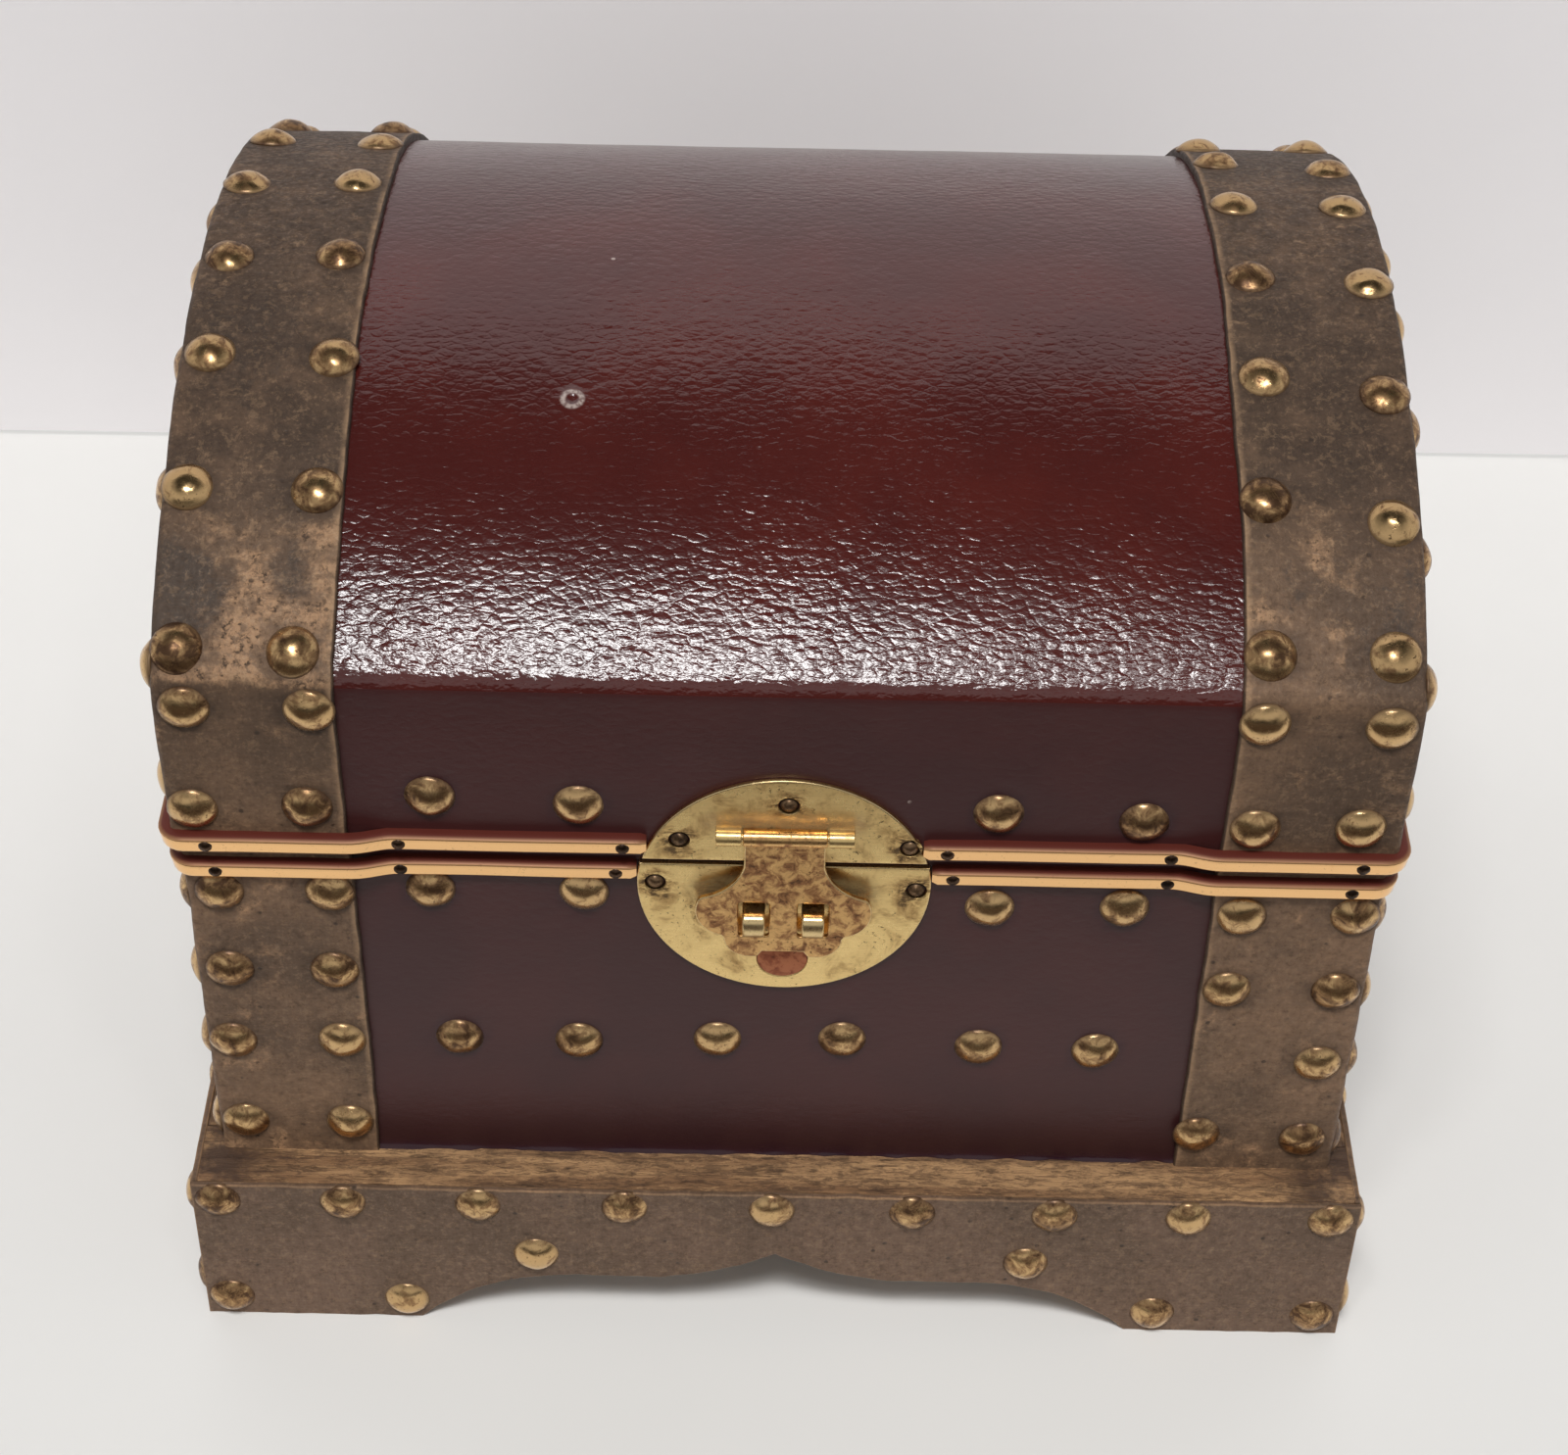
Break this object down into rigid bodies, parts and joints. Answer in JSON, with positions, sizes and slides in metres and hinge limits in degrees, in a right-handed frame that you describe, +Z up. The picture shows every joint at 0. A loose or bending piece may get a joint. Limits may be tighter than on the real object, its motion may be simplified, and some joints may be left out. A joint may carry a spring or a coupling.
{
  "type": "treasure chest box",
  "caption": "Small dome-lidded treasure chest box on a bracket plinth, with corner straps, domed nail heads, rim beading, rear hinges and a round brass hasp lock.",
  "frame": {"origin": "centre of the footprint, on the surface that the chest stands on", "axes": "+Z up, -Y towards the front with the lock, +X to the right seen from the front"},
  "size_m": [0.2266, 0.1956, 0.1902],
  "materials": {
    "pale_board": "plain board, unseen under its covering",
    "golden_wood": "bare worn wood on the ledge",
    "maroon_leatherette": "glossy pebbled leatherette",
    "brown_hide_strap": "matt worn hide",
    "antique_brass_nails": "aged, burnished crowns",
    "copper_gold_beading": "polished",
    "yellow_brass": "brushed with dark tarnish",
    "tarnished_bronze": "mottled",
    "copper_rivet": "dull copper",
    "dark_pins": "dark aged heads",
    "felt_lining": "short pile felt"
  },
  "bodies": {
    "chest_body": {"body_board_back": "pale_board", "body_board_front": "pale_board", "body_board_left": "pale_board", "body_board_right": "pale_board", "body_cover": "maroon_leatherette", "body_lining": "felt_lining", "body_rim_nails": "dark_pins", "body_rim_strip_left": "copper_gold_beading", "body_rim_strip_right": "copper_gold_beading", "body_strap_back_left": "brown_hide_strap", "body_strap_back_right": "brown_hide_strap", "body_strap_front_left": "brown_hide_strap", "body_strap_front_right": "brown_hide_strap", "body_studs_back": "antique_brass_nails", "body_studs_front": "antique_brass_nails", "body_studs_sides": "antique_brass_nails", "bottom_board": "pale_board", "hinge_body_leaf_left": "yellow_brass", "hinge_body_leaf_right": "yellow_brass", "hinge_nails_body": "dark_pins", "hinge_pins": "yellow_brass", "lock_lugs": "yellow_brass", "lock_nails_lower": "dark_pins", "lock_plate_lower": "yellow_brass", "lock_rivet": "copper_rivet", "plinth_board_back": "golden_wood", "plinth_board_front": "golden_wood", "plinth_board_left": "golden_wood", "plinth_board_right": "golden_wood", "plinth_facing_back": "brown_hide_strap", "plinth_facing_front": "brown_hide_strap", "plinth_facing_left": "brown_hide_strap", "plinth_facing_right": "brown_hide_strap", "plinth_studs": "antique_brass_nails"},
    "lid": {"hinge_lid_leaf_left": "yellow_brass", "hinge_lid_leaf_right": "yellow_brass", "hinge_nails_lid": "dark_pins", "lid_cover": "maroon_leatherette", "lid_dome": "pale_board", "lid_end_cover_left": "maroon_leatherette", "lid_end_cover_right": "maroon_leatherette", "lid_end_left": "pale_board", "lid_end_right": "pale_board", "lid_end_strap_left": "brown_hide_strap", "lid_end_strap_right": "brown_hide_strap", "lid_lining": "felt_lining", "lid_rail_back": "pale_board", "lid_rail_front": "pale_board", "lid_rim_nails": "dark_pins", "lid_rim_strip_left": "copper_gold_beading", "lid_rim_strip_right": "copper_gold_beading", "lid_strap_left": "brown_hide_strap", "lid_strap_right": "brown_hide_strap", "lid_studs_ends": "antique_brass_nails", "lid_studs_rails": "antique_brass_nails", "lid_studs_straps": "antique_brass_nails", "lock_nails_upper": "dark_pins", "lock_pin": "yellow_brass", "lock_plate_upper": "yellow_brass"},
    "hasp": {"hasp_tongue": "tarnished_bronze"}
  },
  "joints": [
    {"name": "lid_hinge", "type": "hinge", "parent": "chest_body", "child": "lid", "pos_m": [0, 0.08815, 0.117], "axis": [-1, 0, 0], "range_deg": [0, 105]},
    {"name": "hasp_hinge", "type": "hinge", "parent": "lid", "child": "hasp", "pos_m": [0, -0.08875, 0.1246], "axis": [-1, 0, 0], "range_deg": [0, 170]}
  ]
}
